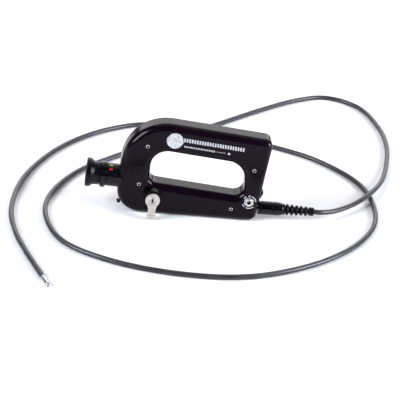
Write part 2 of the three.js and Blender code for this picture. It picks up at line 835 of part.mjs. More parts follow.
function makeGland() {
  const taperStart = glandLength;
  const taperEnd = glandLength + glandTaper;
  const gland = [
    [-glandNeckLength + clearance, glandBore],
    [-glandNeckLength + clearance, glandNeckRadius],
    [0, glandNeckRadius],
    [0, glandRadius],
    [taperStart, glandRadius],
    [taperEnd, glandRadius - 1],
    [taperEnd, glandBore],
    [-glandNeckLength + clearance, glandBore],
  ];
  add(glandGroup, "gland_body", turnedX(gland, 24), satinBlack);
  const nut = cut(
    rodX(glandNutRadius, -glandNeckLength + 1, -glandNeckLength + 3, 6),
    rodX(glandNeckRadius + clearance, -glandNeckLength, 0, 20),
  );
  add(glandGroup, "gland_nut", nut, aluminium);

  const reliefStart = taperEnd + clearance;
  const profile = [
    [reliefStart, 0],
    [reliefStart, reliefCore + 2.2],
    [reliefStart + 1.6, reliefCore + 2.2],
  ];
  const cuffStart = reliefLength - cuffLength;
  const pitch = (cuffStart - 2.4) / reliefRibs;
  for (let i = 0; i < reliefRibs; i += 1) {
    const share = (i + 0.5) / reliefRibs;
    const along = reliefStart + 2.4 + i * pitch;
    const ribRadius = THREE.MathUtils.lerp(ribRadiusFirst, ribRadiusLast, share);
    const core = THREE.MathUtils.lerp(reliefCore, reliefCore - 0.6, share);
    profile.push([along, core], [along + pitch * 0.3, ribRadius], [along + pitch * 0.55, ribRadius]);
    profile.push([along + pitch * 0.85, core]);
  }
  profile.push([reliefStart + cuffStart, reliefCore - 0.6], [reliefStart + cuffStart + 0.4, cuffRadius]);
  const reliefEnd = reliefStart + reliefLength;
  profile.push([reliefEnd - 0.5, cuffRadius], [reliefEnd, cuffRadius - 0.6], [reliefEnd, 0]);
  add(glandGroup, "strain_relief", turnedX(profile, 14), blackRubber);
}

function makeImageBundle() {
  const neckEnd = leftWallX(eyepieceHeight) + neckDepth;
  const route = [
    [neckEnd + 0.5, 0, eyepieceHeight - 0.4],
    [neckEnd + 3.2, 0.2, 36.6],
    [neckEnd + 6, 1.2, 31.5],
    [neckEnd + 7, 2.4, 25],
    [neckEnd + 11, 3.6, 17.5],
    [-44, 4, 14],
    [-22, 4, 12.6],
    [0, 4, 13.2],
    [22, 4, 15.6],
    [38, 4, 20.4],
    [50, 4, 22],
    [glandStart - 21.3, 3.4, 19.2],
    [glandStart - 12.8, 1.8, 14.6],
    [glandStart - 6.8, 0.2, cordHeight + 0.1],
    [glandStart - 0.3, 0, cordHeight],
    [glandStart + glandLength, 0, cordHeight],
  ];
  add(scope, "image_bundle", tubeAlong(route, bundleRadius, 24, 8), satinBlack);
}

// Insertion tube, bending section and tip

// A ring whose ends slope away from the pivots at its top and bottom
function bendRing(from, to, outer, inner, startSlope, endSlope) {
  const ring = turnedX(sleeve(from, to, outer, inner), 16);
  const points = ring.getAttribute("position");
  for (let i = 0; i < points.count; i += 1) {
    const side = Math.abs(points.getY(i));
    const shift = points.getX(i) < (from + to) / 2 ? side * Math.tan(startSlope) : -side * Math.tan(endSlope);
    points.setX(i, points.getX(i) + shift);
  }
  return ring;
}

function makeBendingSection() {
  const { outer, inner, sheathInner } = vertebra;
  for (let i = 0; i < bendJoints; i += 1) {
    const from = i * bendPitch + clearance / 2;
    const to = (i + 1) * bendPitch - clearance / 2;
    const slope = radians(bendLimit / 2 + 1);
    const startSlope = i === 0 ? radians(bendLimit + 1) : slope;
    const endSlope = i === bendJoints - 1 ? 0 : slope;
    const link = bendRing(from, to, outer, inner, startSlope, endSlope);
    const sheath = bendRing(from, to, tubeRadius, sheathInner, startSlope, endSlope);
    add(bendGroup, `vertebra_${i + 1}`, link, brightSteel);
    add(bendGroup, `bend_sheath_${i + 1}`, sheath, blackRubber);
  }
  const tipStart = bendJoints * bendPitch + clearance;
  const tipEnd = bendJoints * bendPitch + tipLength;
  const tip = turnedX(
    [
      [tipStart, 0],
      [tipStart, tubeRadius],
      [tipEnd - 0.7, tubeRadius],
      [tipEnd, tubeRadius - 0.7],
      [tipEnd, 0],
    ],
    24,
  );
  const window = (radius, from, to, height, sides) => rodX(radius, from, to, sides).translate(0, 0, height);
  const { radius: lensRadius, height: lensHeight } = tipLens;
  const { radius: lightWindowRadius, height: lightHeight } = tipLight;
  const pocketStart = tipEnd - 2.5;
  const lensRoom = window(lensRadius + clearance, pocketStart, tipEnd + 1, lensHeight, 16);
  const lightRoom = window(lightWindowRadius + clearance, pocketStart, tipEnd + 1, lightHeight, 16);
  const glassStart = pocketStart + clearance;
  const glassEnd = tipEnd - 0.1;
  add(bendGroup, "distal_tip", cut(tip, lensRoom, lightRoom), brightSteel);
  add(bendGroup, "objective_lens", window(lensRadius, glassStart, glassEnd, lensHeight, 12), lensGlass);
  add(bendGroup, "light_window", window(lightWindowRadius, glassStart, glassEnd, lightHeight, 12), lensGlass);
}

makeHousing();
makeScrews("case_screw", caseScrewPlaces, caseScrew, 0, brightSteel);
makeScrews("block_screw", blockScrewPlaces, blockScrew, blockScrewSink, blackSteel);
makeStrapStud();
makeEyepiece();
makeEyepieceBlock();
makePullWires(makeLever());
makeJack();
makeButton();
makeBattery();
makeElectronics();
makeGland();
makeImageBundle();
add(scope, "insertion_tube", tubeAlong(tubeRoute, tubeRadius, 80, 10), blackRubber);
makeBendingSection();

export default scope;
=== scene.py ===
import bpy
import bmesh
import json
import math
from mathutils import Matrix, Vector
from mathutils.geometry import interpolate_bezier


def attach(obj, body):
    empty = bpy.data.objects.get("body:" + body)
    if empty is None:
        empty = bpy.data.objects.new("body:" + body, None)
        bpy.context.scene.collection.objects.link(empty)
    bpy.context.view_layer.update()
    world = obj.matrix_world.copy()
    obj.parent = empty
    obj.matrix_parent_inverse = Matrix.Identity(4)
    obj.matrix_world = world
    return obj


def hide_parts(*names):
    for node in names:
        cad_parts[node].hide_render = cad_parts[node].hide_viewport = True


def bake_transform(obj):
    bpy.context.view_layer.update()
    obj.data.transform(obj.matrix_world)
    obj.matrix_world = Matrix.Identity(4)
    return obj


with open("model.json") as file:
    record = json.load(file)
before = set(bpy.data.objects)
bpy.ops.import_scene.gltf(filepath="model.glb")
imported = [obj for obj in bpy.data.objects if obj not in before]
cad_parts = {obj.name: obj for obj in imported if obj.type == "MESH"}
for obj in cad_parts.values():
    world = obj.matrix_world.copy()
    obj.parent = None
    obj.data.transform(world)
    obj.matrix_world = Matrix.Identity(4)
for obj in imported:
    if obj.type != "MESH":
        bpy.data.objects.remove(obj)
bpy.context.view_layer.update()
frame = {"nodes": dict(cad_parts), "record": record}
mm = 0.001
print("frame loaded:", len(frame["nodes"]), "nodes")

# camera

camera = {
    "location": (-0.143517, -1.517244, 0.792891),
    "right": (0.992322, -0.045346, 0.115065),
    "up": (-0.081376, 0.461221, 0.883546),
    "lens": 137.42,
    "sensor": 36,
}


def addCamera(values):
    right, up = Vector(values["right"]), Vector(values["up"])
    back = right.cross(up)
    bpy.ops.object.camera_add()
    made = bpy.context.object
    made.name = "viewCamera"
    made.data.lens = values["lens"]
    made.data.sensor_width = values["sensor"]
    turn = Matrix((right, up, back)).transposed().to_4x4()
    made.matrix_world = Matrix.Translation(values["location"]) @ turn
    bpy.context.scene.camera = made


addCamera(camera)

# working by hand: what every piece uses


def deselectAll():
    if bpy.context.object and bpy.context.object.mode != "OBJECT":
        bpy.ops.object.mode_set(mode="OBJECT")
    bpy.ops.object.select_all(action="DESELECT")


def take(piece):
    deselectAll()
    bpy.context.view_layer.objects.active = piece
    piece.select_set(True)


def edit(piece):
    take(piece)
    bpy.ops.object.mode_set(mode="EDIT")


def pick(piece, kind, test):
    bpy.ops.mesh.select_mode(type=kind)
    bpy.ops.mesh.select_all(action="DESELECT")
    mesh = bmesh.from_edit_mesh(piece.data)
    for thing in {"VERT": mesh.verts, "EDGE": mesh.edges, "FACE": mesh.faces}[kind]:
        thing.select_set(bool(test(thing)))
    mesh.select_flush_mode()
    bmesh.update_edit_mesh(piece.data)


def settle(piece, name):
    take(piece)
    bpy.ops.object.transform_apply(location=True, rotation=True, scale=True)
    piece.name = name
    piece.data.name = name
    return piece


def applyModifier(piece, kind, **settings):
    modifier = piece.modifiers.new(kind.lower(), kind)
    for key, value in settings.items():
        setattr(modifier, key, value)
    take(piece)
    bpy.ops.object.modifier_apply(modifier=modifier.name)


def roundEdges(piece, width, steps=3, over=35):
    applyModifier(
        piece, "BEVEL", width=width * mm, segments=steps, limit_method="ANGLE", angle_limit=math.radians(over)
    )


def smooth(piece, angle=35, weighted=True):
    take(piece)
    bpy.ops.object.shade_smooth_by_angle(angle=math.radians(angle))
    if weighted:
        applyModifier(piece, "WEIGHTED_NORMAL", keep_sharp=True, weight=50)


# a line drawn by extruding one point, on through the places
def drawLine(places):
    deselectAll()
    bpy.ops.mesh.primitive_plane_add(size=mm, location=places[0])
    piece = bpy.context.object
    bpy.ops.object.mode_set(mode="EDIT")
    bpy.ops.mesh.select_mode(type="VERT")
    bpy.ops.mesh.select_all(action="SELECT")
    bpy.ops.mesh.merge(type="CENTER")
    for here, there in zip(places, places[1:]):
        bpy.ops.mesh.extrude_region_move(TRANSFORM_OT_translate={"value": there - here})
    return piece


# profile pairs are distance along the axis and radius, in millimetres
def turnPiece(name, profile, centre, axis, steps=64, towards=None, sweep=360):
    along = Vector(axis).normalized()
    out = Vector(towards).normalized() if towards else along.orthogonal().normalized()
    middle = Vector(centre)
    piece = drawLine([middle + along * a * mm + out * r * mm for a, r in profile])
    bpy.ops.mesh.select_all(action="SELECT")
    bpy.ops.mesh.spin(steps=steps, angle=math.radians(sweep), center=middle, axis=along)
    bpy.ops.mesh.select_all(action="SELECT")
    bpy.ops.mesh.remove_doubles(threshold=1e-6)
    bpy.ops.mesh.normals_make_consistent(inside=False)
    return settle(piece, name)


# a flat face drawn round its outline, then drawn out into a plate
def plateFrom(name, places, depth):
    piece = drawLine(places)
    bpy.ops.mesh.select_all(action="SELECT")
    bpy.ops.mesh.edge_face_add()
    bpy.ops.mesh.select_all(action="SELECT")
    bpy.ops.mesh.extrude_region_move(TRANSFORM_OT_translate={"value": depth})
    bpy.ops.mesh.select_all(action="SELECT")
    bpy.ops.mesh.normals_make_consistent(inside=False)
    return settle(piece, name)


def addRod(radius, start, end, steps=48):
    start, end = Vector(start), Vector(end)
    deselectAll()
    bpy.ops.mesh.primitive_cylinder_add(
        vertices=steps,
        radius=radius * mm,
        depth=(end - start).length,
        location=(start + end) / 2,
        rotation=(end - start).to_track_quat("Z", "Y").to_euler(),
    )
    return settle(bpy.context.object, "rod")


def joinAll(pieces):
    deselectAll()
    for piece in pieces:
        piece.select_set(True)
    bpy.context.view_layer.objects.active = pieces[0]
    bpy.ops.object.join()
    return pieces[0]


def cutWith(piece, cutters):
    cutter = joinAll(cutters)
    applyModifier(piece, "BOOLEAN", operation="DIFFERENCE", object=cutter, solver="EXACT")
    take(cutter)
    bpy.ops.object.delete()


def dress(piece, body, finish, slot, *nodes):
    piece.data.materials.clear()
    piece.data.materials.append(finish)
    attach(piece, body)
    if nodes:
        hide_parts(*nodes)
    return piece


# shader sockets that take sums


class Wire:
    def __init__(self, finish, socket):
        self.finish, self.socket = finish, socket

    def maths(self, operation, *values):
        return self.finish.node("Math", {"operation": operation}, dict(enumerate(values)))

    def __add__(self, other):
        return self.maths("ADD", self, other)

    def __mul__(self, other):
        return self.maths("MULTIPLY", self, other)

    __radd__ = __add__
    __rmul__ = __mul__


socketNames = {"ior": "IOR", "transmission": "Transmission Weight", "specular": "Specular IOR Level"}


class Finish:
    def __init__(self, name, **fixed):
        self.material = bpy.data.materials.new(name)
        self.material.use_nodes = True
        self.tree = self.material.node_tree
        self.shader = self.tree.nodes["Principled BSDF"]
        for key, value in fixed.items():
            self.set(socketNames.get(key, key.capitalize()), value)

    def set(self, name, value):
        self.feed(self.shader.inputs[name], value)

    def feed(self, socket, value):
        if isinstance(value, Wire):
            self.tree.links.new(value.socket, socket)
        elif socket.type == "RGBA":
            socket.default_value = (*value[:3], 1)
        else:
            socket.default_value = value

    def node(self, kind, settings=None, inputs=None, output=0):
        made = self.tree.nodes.new("ShaderNode" + kind)
        for key, value in (settings or {}).items():
            if key == "stops":
                for element, (place, shade) in zip(made.color_ramp.elements, value):
                    element.position = place
                    element.color = (shade, shade, shade, 1)
            else:
                setattr(made, key, value)
        for key, value in (inputs or {}).items():
            self.feed(made.inputs[key], value)
        return Wire(self, made.outputs[output])

    def noise(self, size, detail=3, scale=(1, 1, 1)):
        coordinates = self.node("TexCoord", output="Object")
        place = self.node("Mapping", {"vector_type": "POINT"}, {"Vector": coordinates, "Scale": scale})
        return self.node("TexNoise", None, {"Vector": place, "Scale": size, "Detail": detail})

    def ramp(self, value, *stops):
        return self.node("ValToRGB", {"stops": stops}, {"Fac": value})

    def blend(self, factor, first, second):
        return self.node("Mix", {"data_type": "RGBA"}, {0: factor, 6: first, 7: second}, output=2)

    def bump(self, height, depth):
        self.set("Normal", self.node("Bump", None, {"Height": height, "Distance": depth * mm}))


# a coloured skin whose shade and gloss drift a little, over a fine grain
def skinFinish(name, colour, lighter, roughness, drift, grain, depth, patch=60, **fixed):
    made = Finish(name, **fixed)
    cloud = made.noise(patch, detail=4)
    speck = made.noise(grain, detail=2)
    made.set("Base Color", made.blend(made.ramp(cloud, (0.35, 0), (0.7, 1)), colour, lighter))
    made.set("Roughness", cloud * drift + (roughness - drift / 2))
    made.bump(speck, depth)
    return made


# metal with fine lines drawn along one direction
def drawnMetal(name, colour, darker, roughness, drift, scale, depth, patch=90):
    made = Finish(name, metallic=1.0)
    lines = made.noise(1.0, scale=scale)
    cloud = made.noise(patch, detail=4)
    mottle = made.ramp(lines * 0.6 + cloud * 0.4, (0.35, 0), (0.65, 1))
    made.set("Base Color", made.blend(mottle, darker, colour))
    made.set("Roughness", lines * drift + (roughness - drift / 2))
    made.bump(lines, depth)
    return made


glossBlack = skinFinish(
    "glossBlackCase", (0.0032, 0.0009, 0.0034), (0.0046, 0.0014, 0.005), 0.15, 0.05, 1500, 0.002, ior=1.22
).material
satinBlack = skinFinish(
    "satinBlackMetal", (0.0008, 0.0008, 0.0018), (0.002, 0.002, 0.004), 0.17, 0.06, 2500, 0.002, ior=1.33
).material
deepBlack = skinFinish(
    "matteBlackPlastic", (0.001, 0.001, 0.0015), (0.002, 0.002, 0.003), 0.45, 0.1, 2500, 0.003, ior=1.2
).material
softRubber = skinFinish(
    "blackRubber", (0.001, 0.001, 0.002), (0.003, 0.003, 0.005), 0.3, 0.08, 3200, 0.004, ior=1.27
).material
tubeSkin = skinFinish(
    "tubeSheath", (0.02, 0.0195, 0.022), (0.034, 0.033, 0.037), 0.34, 0.1, 2600, 0.01, ior=1.45
).material
leverSilver = drawnMetal(
    "satinSilver", (0.7, 0.655, 0.61), (0.55, 0.51, 0.475), 0.5, 0.12, (2600, 600, 260), 0.004
).material
brightSteel = drawnMetal(
    "turnedSteel", (0.7, 0.69, 0.69), (0.5, 0.5, 0.5), 0.3, 0.1, (1200, 1200, 1200), 0.002
).material
blackSteel = drawnMetal(
    "blackOxide", (0.03, 0.03, 0.034), (0.016, 0.016, 0.019), 0.35, 0.12, (1500, 1500, 1500), 0.003
).material
bronzeFinish = drawnMetal(
    "bronzeTurned", (0.42, 0.25, 0.11), (0.28, 0.16, 0.07), 0.35, 0.12, (900, 3000, 900), 0.004
).material
aluminiumFinish = drawnMetal(
    "milledAluminium", (0.7, 0.71, 0.73), (0.52, 0.53, 0.55), 0.38, 0.14, (400, 3000, 3000), 0.005
).material
pegBlack = skinFinish(
    "polishedBlack", (0.002, 0.002, 0.003), (0.003, 0.003, 0.005), 0.08, 0.03, 2500, 0.001, ior=1.6
).material
printSilver = skinFinish(
    "printedSilver", (0.4, 0.4, 0.43), (0.62, 0.62, 0.66), 0.5, 0.1, 4000, 0.004, patch=900
).material
discSilver = skinFinish(
    "mottledSilver", (0.3, 0.3, 0.32), (0.66, 0.66, 0.69), 0.5, 0.1, 4000, 0.004, patch=420
).material
markRed = skinFinish("markRed", (0.42, 0.008, 0.01), (0.55, 0.02, 0.02), 0.35, 0.1, 3000, 0.004).material
markGreen = skinFinish("markGreen", (0.22, 0.34, 0.03), (0.4, 0.5, 0.07), 0.35, 0.1, 3000, 0.004).material
glassFinish = skinFinish(
    "coatedGlass", (0.72, 0.8, 0.9), (0.78, 0.76, 0.92), 0.03, 0.02, 800, 0.0005, transmission=0.9, ior=1.52
).material
boardGreen = skinFinish(
    "solderMask", (0.006, 0.05, 0.022), (0.02, 0.11, 0.05), 0.4, 0.15, 1800, 0.02, patch=500
).material
cellBlue = skinFinish("cellSleeve", (0.02, 0.07, 0.24), (0.03, 0.09, 0.3), 0.3, 0.1, 1500, 0.005).material
print("finishes made")

# insertion tube: the cord's route, in metres

insertionTube = {
    "radius": 0.0029,
    "stepsPerSpan": 14,
    "sides": 20,
    "route": [
        (0.146, 0, 0.0124),
        (0.155, 0.0006, 0.0122),
        (0.173, 0.012, 0.0098),
        (0.198, 0.035, 0.0089),
        (0.2224, 0.0671, 0.0092),
        (0.242, 0.109, 0.0054),
        (0.256, 0.16, 0.0031),
        (0.265, 0.215, 0.00295),
        (0.263, 0.272, 0.00295),
        (0.245, 0.331, 0.00295),
        (0.205, 0.355, 0.00295),
        (0.16, 0.336, 0.00295),
        (0.105, 0.29, 0.00295),
        (0.045, 0.233, 0.00295),
        (-0.02, 0.1745, 0.00295),
        (-0.08, 0.119, 0.00295),
        (-0.123, 0.07, 0.00295),
        (-0.15, 0.012, 0.00295),
        (-0.154, -0.042, 0.00295),
        (-0.133, -0.097, 0.00295),
        (-0.08, -0.131, 0.00295),
        (-0.01, -0.1465, 0.00295),
        (0.06, -0.142, 0.00295),
        (0.125, -0.112, 0.00295),
        (0.18, -0.065, 0.00295),
        (0.214, -0.01, 0.00295),
        (0.223, 0.045, 0.00295),
        (0.211, 0.105, 0.00295),
        (0.165, 0.159, 0.00295),
        (0.105, 0.19, 0.0031),
        (0.064, 0.205, 0.0048),
        (0.025, 0.2155, 0.0092),
        (-0.015, 0.2195, 0.0048),
        (-0.06, 0.212, 0.0031),
        (-0.111, 0.174, 0.00295),
        (-0.153, 0.117, 0.00295),
        (-0.183, 0.044, 0.00295),
        (-0.192, -0.03, 0.00295),
        (-0.184, -0.085, 0.00295),
        (-0.1692, -0.1297, 0.00295),
    ],
}


def smoothHandles(points):
    last = len(points) - 1
    slopes = [(points[min(i + 1, last)] - points[max(i - 1, 0)]) / 6 for i in range(last + 1)]
    slopes[0] = (points[1] - points[0]) / 3
    slopes[last] = (points[last] - points[last - 1]) / 3
    return slopes


def addTube(name, values):
    points = [Vector(p) for p in values["route"]]
    slopes = smoothHandles(points)
    deselectAll()
    bpy.ops.curve.primitive_bezier_curve_add(location=(0, 0, 0))
    piece = bpy.context.object
    curve = piece.data
    curve.splines.clear()
    spline = curve.splines.new("BEZIER")
    spline.bezier_points.add(len(points) - 1)
    for knot, point, slope in zip(spline.bezier_points, points, slopes):
        knot.co, knot.handle_left, knot.handle_right = point, point - slope, point + slope
    curve.dimensions = "3D"
    curve.twist_mode = "MINIMUM"
    curve.bevel_depth = values["radius"]
    curve.bevel_resolution = values["sides"] // 4 - 1
    curve.resolution_u = values["stepsPerSpan"]
    curve.use_fill_caps = True
    bpy.ops.object.convert(target="MESH")
    bpy.ops.object.shade_smooth()
    line = [points[0]]
    for i in range(len(points) - 1):
        ends = points[i], points[i] + slopes[i], points[i + 1] - slopes[i + 1], points[i + 1]
        line += interpolate_bezier(*ends, values["stepsPerSpan"] + 1)[1:]
    return settle(piece, name), line


tube, tubeLine = addTube("insertionTube", insertionTube)
smooth(tube, 50, weighted=False)
tubeLength = sum((b - a).length for a, b in zip(tubeLine, tubeLine[1:]))
dress(tube, "scope", tubeSkin, "black_rubber", "insertion_tube")
print("insertion tube made,", round(tubeLength, 4), "m")

# bending section: one flush sleeve across each pivot, then the collar in front of the tip

bendingSection = {
    "start": (-0.1692, -0.1297, 0.00295),
    "heading": -68,
    "pitch": 8,
    "links": 6,
    "radius": 2.92,
    "steps": 28,
    "ringsPerSleeve": 8,
    "sleeveWall": 0.3,
    "turnRoom": 3.4,
    "collarLip": 0.1,
    "collarWall": 0.6,
    "collarRound": (0.5, 0.35),
    "tipLength": 16,
}


def addBendingSection(values):
    heading = math.radians(values["heading"])
    axis = Vector((math.cos(heading), math.sin(heading), 0))
    start = Vector(values["start"])
    pitch, radius, rings = values["pitch"], values["radius"], values["ringsPerSleeve"]
    turnRoom = axis * values["turnRoom"] * mm
    bodies = ["scope"] + [f"bend_{i + 1}" for i in range(values["links"])]
    made = []
    for i in range(values["links"]):
        low = (i - 0.5) * pitch
        outer = [(low + pitch * j / rings, radius) for j in range(rings + 1)]
        inner = radius - values["sleeveWall"]
        profile = outer + [(outer[-1][0], inner), (low, inner), outer[0]]
        sleeve = turnPiece(f"bendSleeve{i + 1}", profile, start, axis, values["steps"])
        smooth(sleeve, 50, weighted=False)
        sleeve.data.materials.append(tubeSkin)
        joint = start + axis * i * pitch * mm
        joint - turnRoom
        joint + turnRoom
        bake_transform(sleeve)
        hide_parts(f"bend_sheath_{i + 1}")
        made.append(sleeve)
    last = (values["links"] - 0.5) * pitch
    end = values["links"] * pitch + values["collarLip"]
    inner = radius - values["collarWall"]
    back, drop = values["collarRound"]
    collar = [(last, radius), (end - back, radius), (end, radius - drop)]
    collar += [(end, inner), (last, inner), (last, radius)]
    made.append(turnPiece("tipCollar", collar, start, axis, values["steps"]))
    smooth(made[-1])
    dress(made[-1], bodies[-1], tubeSkin, "black_rubber")
    return made, start, axis, end


sleeves, bendStart, bendAxis, collarEnd = addBendingSection(bendingSection)

# the steel tip: a turned barrel with the lens and the light window let into its face; the neck is measured
# out from the collar, the nose back from the tip's end, and each window is its height and radius

tip = {
    "gap": 0.15,
    "neck": [(0, 0), (0, 2.75), (3.4, 2.75), (3.6, 2.55), (4.1, 2.55), (4.3, 2.9)],
    "nose": [(-0.8, 2.9), (-0.25, 2.65), (0, 2.1), (0, 0)],
    "windows": [(0.9, 1.05), (-1.4, 0.85)],
    "windowDepth": 2.3,
}


def addTip(values):
    start = collarEnd + values["gap"]
    end = bendingSection["links"] * bendingSection["pitch"] + bendingSection["tipLength"]
    profile = [(start + a, r) for a, r in values["neck"]] + [(end + a, r) for a, r in values["nose"]]
    piece = turnPiece("distalTip", profile, bendStart, bendAxis, 48)
    holes = []
    for height, room in values["windows"]:
        low = bendStart + bendAxis * (end - values["windowDepth"]) * mm + Vector((0, 0, height * mm))
        holes.append(addRod(room, low, low + bendAxis * 4 * mm, 32))
    cutWith(piece, holes)
    smooth(piece)
    return dress(piece, "bend_6", brightSteel, "bright_steel", "distal_tip")


tipPiece = addTip(tip)
print("bending section and tip made")

# grip housing: two halves of one rounded loop

grip = {
    "front": -14.5,
    "thickness": 29,
    "edgeRound": 8,
    "wall": 2.5,
    "seam": 6.5,
    "seamGap": 0.3,
    "cornerSteps": 26,
    "edgeSteps": 14,
    "sharpFrom": 1.2,
    "outline": {
        "left": (-79.1, 2.24),
        "right": (79.1, 5.04),
        "bottom": (0, 0),
        "top": (107.4, 4.77),
        "radii": (26, 9, 9, 50),
    },
    "slot": {
        "left": (-43.9, 0),
        "right": (67.6, -7.2),
        "bottom": (33.9, 4.98),
        "top": (74.1, 4.98),
        "radii": (9.3, 11.5, 20.9, 18.7),
    },
}


def cornersOf(outline):
    def meet(end, long):
        lean, fall = math.tan(math.radians(end[1])), math.tan(math.radians(long[1]))
        z = (long[0] - end[0] * fall) / (1 + lean * fall)
        return Vector((end[0] + z * lean, 0, z)) * mm

    left, right, bottom, top = (outline[key] for key in ("left", "right", "bottom", "top"))
    return [meet(left, bottom), meet(right, bottom), meet(right, top), meet(left, top)]


# a plane pulled to the four corners, each corner then bevelled to its own round
def addOutline(outline, y, steps):
    corners = cornersOf(outline)
    deselectAll()
    bpy.ops.mesh.primitive_plane_add(size=2)
    piece = bpy.context.object
    order = {(-1, -1): 0, (1, -1): 1, (1, 1): 2, (-1, 1): 3}
    for point in piece.data.vertices:
        spot = corners[order[round(point.co.x), round(point.co.y)]]
        point.co = (spot.x, y * mm, spot.z)
    edit(piece)
    for i, corner in enumerate(corners):
        arriving = (corner - corners[i - 1]).normalized()
        leaving = (corners[(i + 1) % 4] - corner).normalized()
        pull = outline["radii"][i] * math.tan(arriving.angle(leaving) / 2) * mm
        spot = Vector((corner.x, y * mm, corner.z))
        pick(piece, "VERT", lambda point: (point.co - spot).length < 1e-6)
        bpy.ops.mesh.bevel(
            offset=pull, offset_type="OFFSET", segments=steps, profile=0.5, affect="VERTICES", clamp_overlap=False
        )
    bpy.ops.object.mode_set(mode="OBJECT")
    return piece


def isRimEdge(edge, sharpFrom):
    level = abs(edge.verts[0].co.y - edge.verts[1].co.y) < 1e-6
    return edge.is_manifold and edge.calc_face_angle() > sharpFrom and level


def addLoopBody(values):
    front = values["front"]
    back = front + values["thickness"]
    loop = joinAll([addOutline(values[key], front, values["cornerSteps"]) for key in ("outline", "slot")])
    edit(loop)
    bpy.ops.mesh.select_all(action="SELECT")
    bpy.ops.mesh.delete(type="ONLY_FACE")
    bpy.ops.mesh.select_all(action="SELECT")
    bpy.ops.mesh.bridge_edge_loops()
    bpy.ops.mesh.select_all(action="SELECT")
    bpy.ops.mesh.extrude_region_move(TRANSFORM_OT_translate={"value": (0, values["thickness"] * mm, 0)})
    bpy.ops.mesh.select_all(action="SELECT")
    bpy.ops.mesh.normals_make_consistent(inside=False)
    pick(loop, "EDGE", lambda edge: isRimEdge(edge, values["sharpFrom"]))
    bpy.ops.mesh.bevel(
        offset=values["edgeRound"] * mm,
        segments=values["edgeSteps"],
        profile=0.5,
        affect="EDGES",
        loop_slide=False,
        clamp_overlap=False,
    )
    bpy.ops.object.mode_set(mode="OBJECT")
    return loop


def halfOf(body, y, keepFront, name, wall):
    take(body)
    bpy.ops.object.duplicate()
    half = bpy.context.object
    edit(half)
    bpy.ops.mesh.select_all(action="SELECT")
    bpy.ops.mesh.bisect(
        plane_co=(0, y * mm, 0), plane_no=(0, 1, 0), clear_outer=keepFront, clear_inner=not keepFront
    )
    settle(half, name)
    applyModifier(half, "SOLIDIFY", thickness=wall * mm, offset=-1, use_rim=True)
    return half


loopBody = addLoopBody(grip)
frontShell = halfOf(loopBody, grip["seam"] - grip["seamGap"] / 2, True, "frontShell", grip["wall"])
rearShell = halfOf(loopBody, grip["seam"] + grip["seamGap"] / 2, False, "rearShell", grip["wall"])
take(loopBody)
bpy.ops.object.delete()

screws = {
    "casePlaces": [(-49.7, 82.5), (-54.9, 36), (70.2, 64), (50.2, 14.3)],
    "blockPlaces": [(-64.5, 52.75), (-57.5, 52.75), (-64.5, 62.65), (-57.5, 62.65)],
    "room": 2.55,
    "roomDepth": 1.9,
    "head": [(0, 0), (0, 0.62), (0.12, 0.86), (0.4, 1), (1.3, 1)],  # distance in, share of the radius
    "shank": [(1.3, 1.2), (6, 1.2), (6, 0)],
    "keyDepth": 1.15,
    "caseShape": {"radius": 2.3, "crown": 0.12, "sink": 0.05, "key": 1.4},
    "blockShape": {"radius": 2.35, "crown": 0.1, "sink": 0.3, "key": 1.0},
}


def faceSpot(x, z, y=None):
    return Vector((x, grip["front"] if y is None else y, z)) * mm


holes = [
    addRod(
        screws["room"], faceSpot(x, z, grip["front"] - 1), faceSpot(x, z, grip["front"] + screws["roomDepth"]), 40
    )
    for x, z in screws["casePlaces"] + screws["blockPlaces"]
]
cutWith(frontShell, holes)
for shell, node in ((frontShell, "front_shell"), (rearShell, "rear_shell")):
    smooth(shell, 40)
    dress(shell, "scope", glossBlack, "gloss_black", node)
print("grip housing made")

# screws: one of each made, the rest copied, each with its own mesh


def shiftedCopy(piece, name, shift):
    take(piece)
    bpy.ops.object.duplicate()
    twin = bpy.context.object
    bpy.ops.transform.translate(value=shift)
    return settle(twin, name)


def coverFaces(piece, finish, test):
    piece.data.materials.append(finish)
    last = len(piece.data.materials) - 1
    for face in piece.data.polygons:
        if test(face):
            face.material_index = last


def addSocketScrew(name, x, z, radius, crown, sink, key, finish):
    top = faceSpot(x, z, grip["front"] + sink)
    head = [(a if a else -crown, share * radius) for a, share in screws["head"]]
    piece = turnPiece(name, head + screws["shank"], top, (0, 1, 0), 40)
    hole = addRod(key, top - Vector((0, mm, 0)), top + Vector((0, screws["keyDepth"] * mm, 0)), 6)
    cutWith(piece, [hole])
    smooth(piece)
    piece.data.materials.append(finish)
    # the key socket's faces take the black oxide finish: on the silver case screws this is painted shade in the
    # socket, while the block screws are black oxide all over
    inKey = key * mm * 0.99
    coverFaces(piece, blackSteel, lambda face: math.hypot(face.center.x - top.x, face.center.z - top.z) < inKey)
    return piece


def addScrewSet(kind, places, finish, slot, **shape):
    first = addSocketScrew(f"{kind}Head1", *places[0], finish=finish, **shape)
    heads = [first]
    for i, (x, z) in enumerate(places[1:]):
        shift = faceSpot(x, z) - faceSpot(*places[0])
        heads.append(shiftedCopy(first, f"{kind}Head{i + 2}", shift))
    for i, head in enumerate(heads):
        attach(head, "scope")
        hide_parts(f"{kind}_screw_{i + 1}")


addScrewSet("case", screws["casePlaces"], leverSilver, "satin_silver", **screws["caseShape"])
addScrewSet("block", screws["blockPlaces"], blackSteel, "black_steel", **screws["blockShape"])
print("screws made")

# printed marks on the front face: a plain ringed disc, rows of plain bars and arcs round the jack

